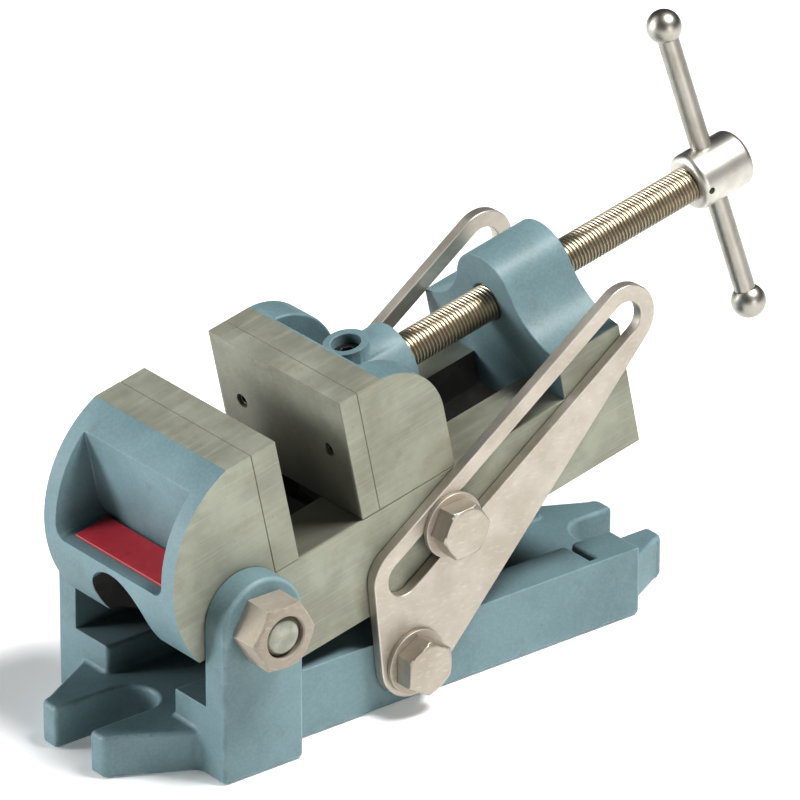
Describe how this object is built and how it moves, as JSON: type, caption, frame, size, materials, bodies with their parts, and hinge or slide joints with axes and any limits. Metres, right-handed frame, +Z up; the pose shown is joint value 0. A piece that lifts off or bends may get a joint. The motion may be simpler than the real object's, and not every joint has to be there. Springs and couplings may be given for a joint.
{
  "type": "angle vise",
  "caption": "Tilting screw vise on a slotted base, set by a slotted arm on each side, with a sliding jaw, a lead screw and a T-bar handle.",
  "frame": {"origin": "on the base's bottom face, straight under the tilt pivot's axis and midway between the jaws' sides", "axes": "+X from the fixed jaw towards the handle, +Y from the side with the pivot nut to the side with the pivot bolt's head, +Z up"},
  "size_m": [0.3094, 0.1212, 0.21],
  "materials": {
    "painted_casting": "blue-grey hammered enamel on cast iron, with machined bare faces",
    "jaw_iron": "ground bare iron",
    "plated_steel": "warm nickel-coloured plating",
    "bright_steel": "polished bright steel",
    "screw_steel": "oiled steel thread",
    "dark_steel": "black oxide",
    "red_label": "bare deep red enamel"
  },
  "bodies": {
    "base_frame": {"base": "painted_casting", "pivot_bolt": "plated_steel", "pivot_nut": "plated_steel", "arm_bolts": "plated_steel", "arm_washers": "plated_steel"},
    "tilting_body": {"vise_body": "painted_casting", "fixed_jaw_plate": "jaw_iron", "fixed_jaw_screws": "dark_steel", "label_plate": "red_label"},
    "jaw": {"moving_jaw": "painted_casting", "moving_jaw_plate": "jaw_iron", "moving_jaw_screws": "dark_steel", "keeper_plate": "dark_steel", "keeper_screws": "dark_steel", "retaining_screw": "dark_steel"},
    "screw": {"lead_screw": "screw_steel", "screw_head": "bright_steel", "head_pin": "dark_steel"},
    "handle": {"handle_bar": "bright_steel", "upper_ball": "bright_steel", "lower_ball": "bright_steel"},
    "arm_near": {"near_arm": "plated_steel"},
    "arm_far": {"far_arm": "plated_steel"},
    "clamp_near": {"near_clamp_bolt": "plated_steel", "near_clamp_washer": "plated_steel"},
    "clamp_far": {"far_clamp_bolt": "plated_steel", "far_clamp_washer": "plated_steel"}
  },
  "joints": [
    {"name": "tilt", "type": "hinge", "parent": "base_frame", "child": "tilting_body", "pos_m": [0, 0, 0.0587], "axis": [0, -1, 0], "range_deg": [-12, 78]},
    {"name": "jaw_slide", "type": "slide", "parent": "tilting_body", "child": "jaw", "axis": [0.9781, 0, 0.2079], "range_m": [-0.0288, 0.04]},
    {"name": "screw_spin", "type": "hinge", "parent": "jaw", "child": "screw", "pos_m": [0.1394, 0, 0.12432], "axis": [0.9781, 0, 0.2079], "range_deg": [-3460, 4805]},
    {"name": "bar_slide", "type": "slide", "parent": "screw", "child": "handle", "axis": [-0.2035, 0.2045, 0.9575], "range_m": [-0.0415, 0.0355]},
    {"name": "near_arm_swing", "type": "hinge", "parent": "base_frame", "child": "arm_near", "pos_m": [0.0727, -0.04055, 0.0186], "axis": [0, -1, 0], "range_deg": [-10.5, 66.6]},
    {"name": "far_arm_swing", "type": "hinge", "parent": "base_frame", "child": "arm_far", "pos_m": [0.0727, 0.04055, 0.0186], "axis": [0, -1, 0], "range_deg": [-10.5, 66.6]},
    {"name": "near_clamp_slide", "type": "slide", "parent": "arm_near", "child": "clamp_near", "axis": [0.8177, 0, 0.5757], "range_m": [-0.0151, 0.0979]},
    {"name": "far_clamp_slide", "type": "slide", "parent": "arm_far", "child": "clamp_far", "axis": [0.8177, 0, 0.5757], "range_m": [-0.0151, 0.0979]}
  ],
  "couplings": [
    {"joint": "screw_spin", "follows": "jaw_slide", "rad_per_m": 2094.4},
    {"joint": "near_arm_swing", "follows": "tilt", "ratio": 0.85},
    {"joint": "far_arm_swing", "follows": "tilt", "ratio": 0.85},
    {"joint": "near_clamp_slide", "follows": "tilt", "m_per_rad": 0.0717},
    {"joint": "far_clamp_slide", "follows": "tilt", "m_per_rad": 0.0717}
  ]
}
